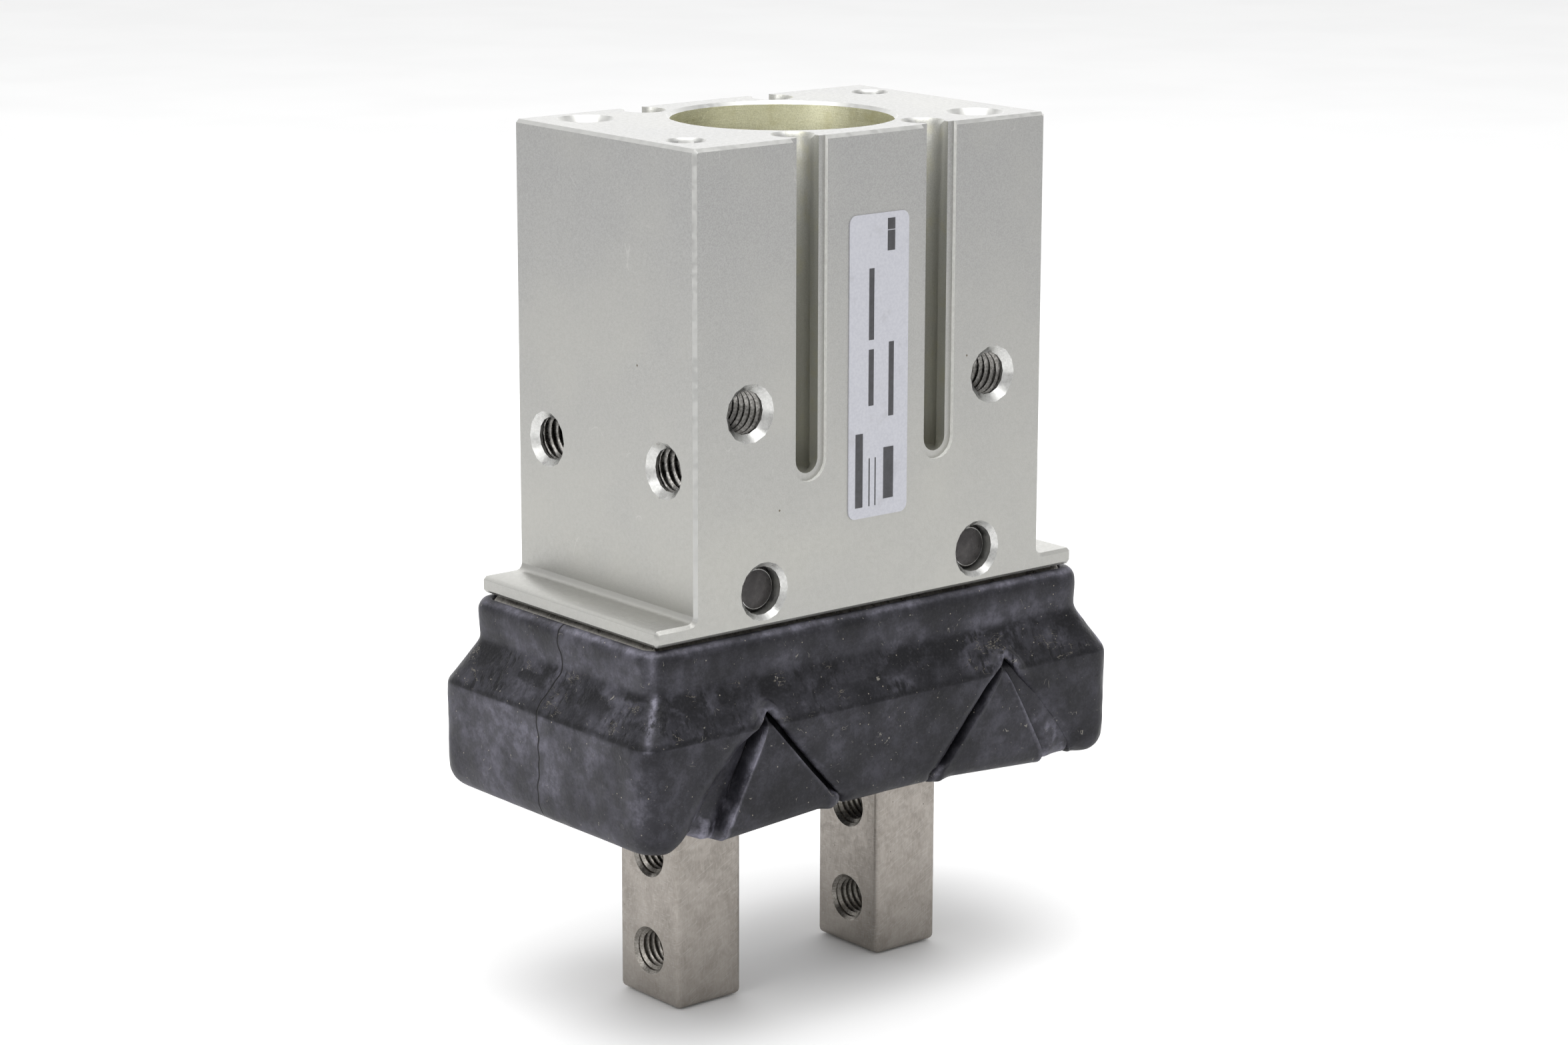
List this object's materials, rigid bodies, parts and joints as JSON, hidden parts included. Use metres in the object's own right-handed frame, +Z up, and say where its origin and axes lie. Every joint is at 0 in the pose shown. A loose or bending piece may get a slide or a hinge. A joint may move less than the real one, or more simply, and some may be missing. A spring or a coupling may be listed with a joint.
{
  "type": "parallel pneumatic gripper",
  "caption": "Parallel air gripper: aluminium cylinder body with sensor slots, rubber dust cover with V pleats and steel fingers that slide apart and together.",
  "frame": {"origin": "centre of the top mounting face, on the axis of the pilot bore", "axes": "+Z up, out of the mounting face, with the fingers pointing down along -Z; +X along the opening direction of the fingers, towards the end face with the air ports; -Y out of the front face with the label"},
  "size_m": [0.0714, 0.0404, 0.1029],
  "materials": {
    "anodised_aluminium": "bead-blasted, clear anodised",
    "turned_aluminium": "turned",
    "ground_steel": "ground, hardened",
    "finger_steel": "ground, with wear marks",
    "bright_steel": "polished",
    "black_steel": "black oxide",
    "cover_rubber": "matt, bloomed and dusty",
    "seal_rubber": "matt",
    "urethane": "satin",
    "magnet": "sintered",
    "label_foil": "silver foil sticker, blank"
  },
  "bodies": {
    "housing": {"body": "anodised_aluminium", "head_cap": "turned_aluminium", "cap_o_ring": "seal_rubber", "retaining_ring": "black_steel", "bumper_top": "urethane", "bumper_bottom": "urethane", "rod_seal": "seal_rubber", "lever_shaft_left": "black_steel", "lever_shaft_right": "black_steel", "guide_rail": "ground_steel", "guide_screw_1": "black_steel", "guide_screw_2": "black_steel", "guide_screw_3": "black_steel", "guide_screw_4": "black_steel", "guide_dowel_front": "bright_steel", "guide_dowel_rear": "bright_steel", "ball_strip_left_front": "bright_steel", "ball_strip_left_rear": "bright_steel", "ball_strip_right_front": "bright_steel", "ball_strip_right_rear": "bright_steel", "dust_cover": "cover_rubber", "label_plate": "label_foil"},
    "ram": {"piston": "turned_aluminium", "piston_seal": "seal_rubber", "magnet_ring": "magnet", "piston_screw": "black_steel", "piston_rod": "ground_steel", "yoke_pin_left": "bright_steel", "yoke_pin_right": "bright_steel"},
    "left_lever": {"lever_left": "ground_steel"},
    "right_lever": {"lever_right": "ground_steel"},
    "left_finger": {"finger_left": "finger_steel", "cover_collar_left": "cover_rubber"},
    "right_finger": {"finger_right": "finger_steel", "cover_collar_right": "cover_rubber"}
  },
  "joints": [
    {"name": "piston_slide", "type": "slide", "parent": "housing", "child": "ram", "axis": [0, 0, -1], "range_m": [-0.00135, 0.0081]},
    {"name": "left_lever_hinge", "type": "hinge", "parent": "housing", "child": "left_lever", "pos_m": [-0.0161, 0, -0.05075], "axis": [0, 1, 0], "range_deg": [-6.01, 35.82]},
    {"name": "right_lever_hinge", "type": "hinge", "parent": "housing", "child": "right_lever", "pos_m": [0.0161, 0, -0.05075], "axis": [0, -1, 0], "range_deg": [-6.01, 35.82]},
    {"name": "left_finger_slide", "type": "slide", "parent": "housing", "child": "left_finger", "axis": [-1, 0, 0], "range_m": [-0.001, 0.006]},
    {"name": "right_finger_slide", "type": "slide", "parent": "housing", "child": "right_finger", "axis": [1, 0, 0], "range_m": [-0.001, 0.006]}
  ],
  "couplings": [
    {"joint": "left_lever_hinge", "follows": "piston_slide", "rad_per_m": 77.083},
    {"joint": "right_lever_hinge", "follows": "piston_slide", "rad_per_m": 77.083},
    {"joint": "left_finger_slide", "follows": "piston_slide", "ratio": 0.74},
    {"joint": "right_finger_slide", "follows": "piston_slide", "ratio": 0.74}
  ]
}
